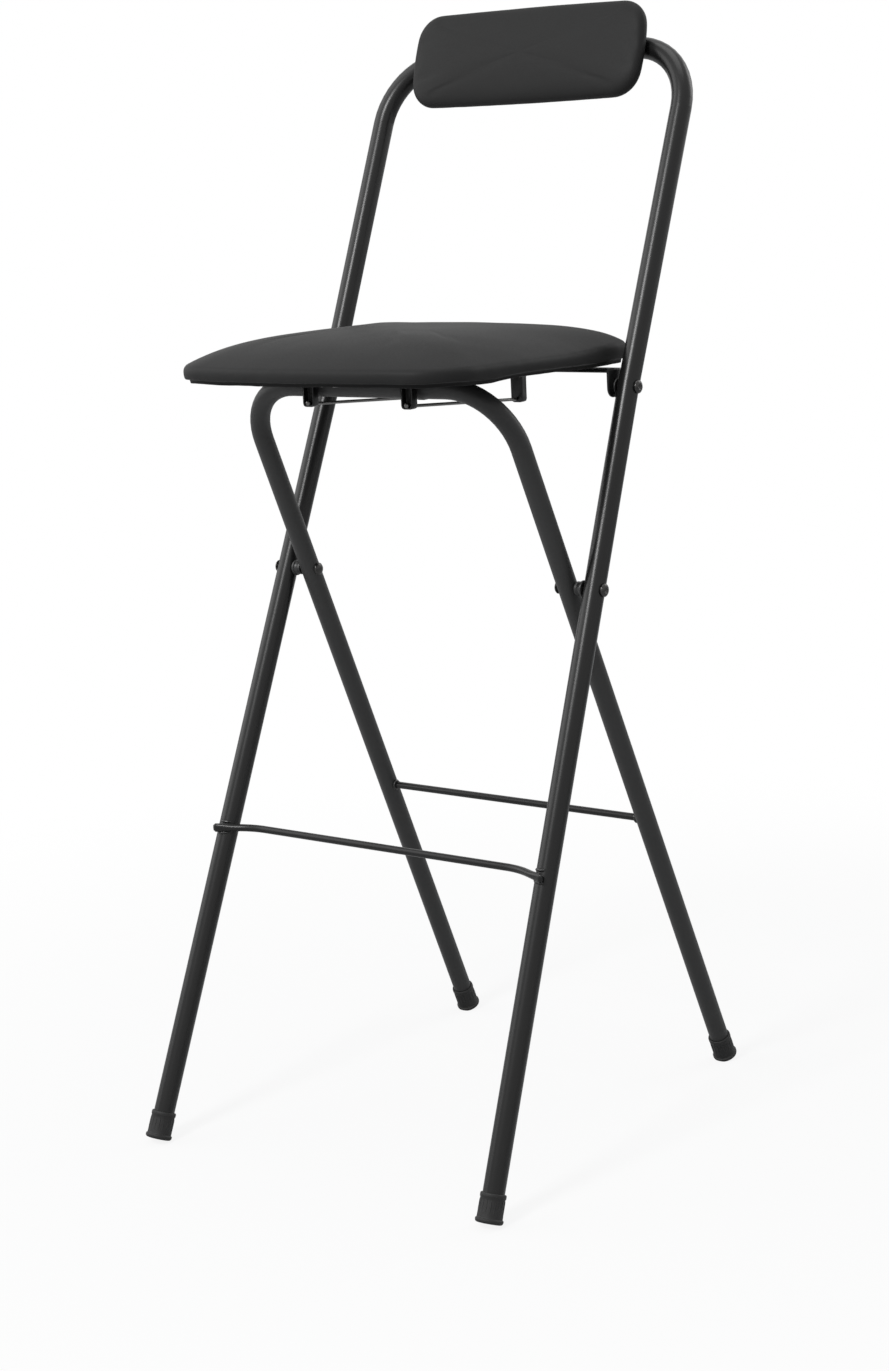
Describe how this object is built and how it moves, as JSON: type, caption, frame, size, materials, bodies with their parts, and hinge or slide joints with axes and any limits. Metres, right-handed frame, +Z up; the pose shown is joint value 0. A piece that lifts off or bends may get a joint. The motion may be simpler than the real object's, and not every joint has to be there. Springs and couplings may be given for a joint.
{
  "type": "folding bar stool",
  "caption": "Folding bar stool with crossed steel tube frames, a padded seat that tips up to fold, a padded backrest, footrest rods and rubber feet.",
  "frame": {"origin": "on the floor, under the middle of the stool's outline when it stands open", "axes": "+Z up; -Y is the front, the side a sitter faces; +X is to the right for someone looking at the front from behind the stool, so the left nodes are at -X"},
  "size_m": [0.4198, 0.48, 1.05],
  "materials": {
    "frame_paint": "semi-gloss black powder coat",
    "bracket_paint": "gloss black",
    "cap_rubber": "matt moulded rubber",
    "bush_plastic": "satin",
    "rivet_steel": "dark plated",
    "wire_steel": "dark drawn wire",
    "vinyl": "smooth black vinyl, soft sheen",
    "board_black": "black-stained board"
  },
  "bodies": {
    "back_frame": {"back_frame_tube": "frame_paint", "backrest_board": "board_black", "backrest_cushion": "vinyl", "front_foot_caps": "cap_rubber", "front_footrest_rod": "frame_paint", "scissor_bushes": "bush_plastic", "scissor_rivets": "rivet_steel", "seat_pivot_rivets": "rivet_steel", "seat_pivot_washers": "bush_plastic"},
    "rear_leg_frame": {"rear_foot_caps": "cap_rubber", "rear_footrest_rod": "frame_paint", "rear_leg_frame_tube": "frame_paint"},
    "seat": {"front_guide_post_left": "bracket_paint", "front_guide_post_right": "bracket_paint", "guide_wire_left": "wire_steel", "guide_wire_right": "wire_steel", "rear_guide_post_left": "bracket_paint", "rear_guide_post_right": "bracket_paint", "seat_board": "board_black", "seat_cushion": "vinyl", "seat_hinge_strip": "bracket_paint"}
  },
  "joints": [
    {"name": "frame_fold", "type": "hinge", "parent": "back_frame", "child": "rear_leg_frame", "pos_m": [0, -0.0005, 0.5264], "axis": [-1, 0, 0], "range_deg": [0, 44.32]},
    {"name": "seat_fold", "type": "hinge", "parent": "back_frame", "child": "seat", "pos_m": [0, 0.07614, 0.70146], "axis": [-1, 0, 0], "range_deg": [0, 80.03], "deforming": ["guide_wire_left", "guide_wire_right"]}
  ],
  "couplings": [
    {"joint": "seat_fold", "follows": "frame_fold", "ratio": 1.8058}
  ]
}
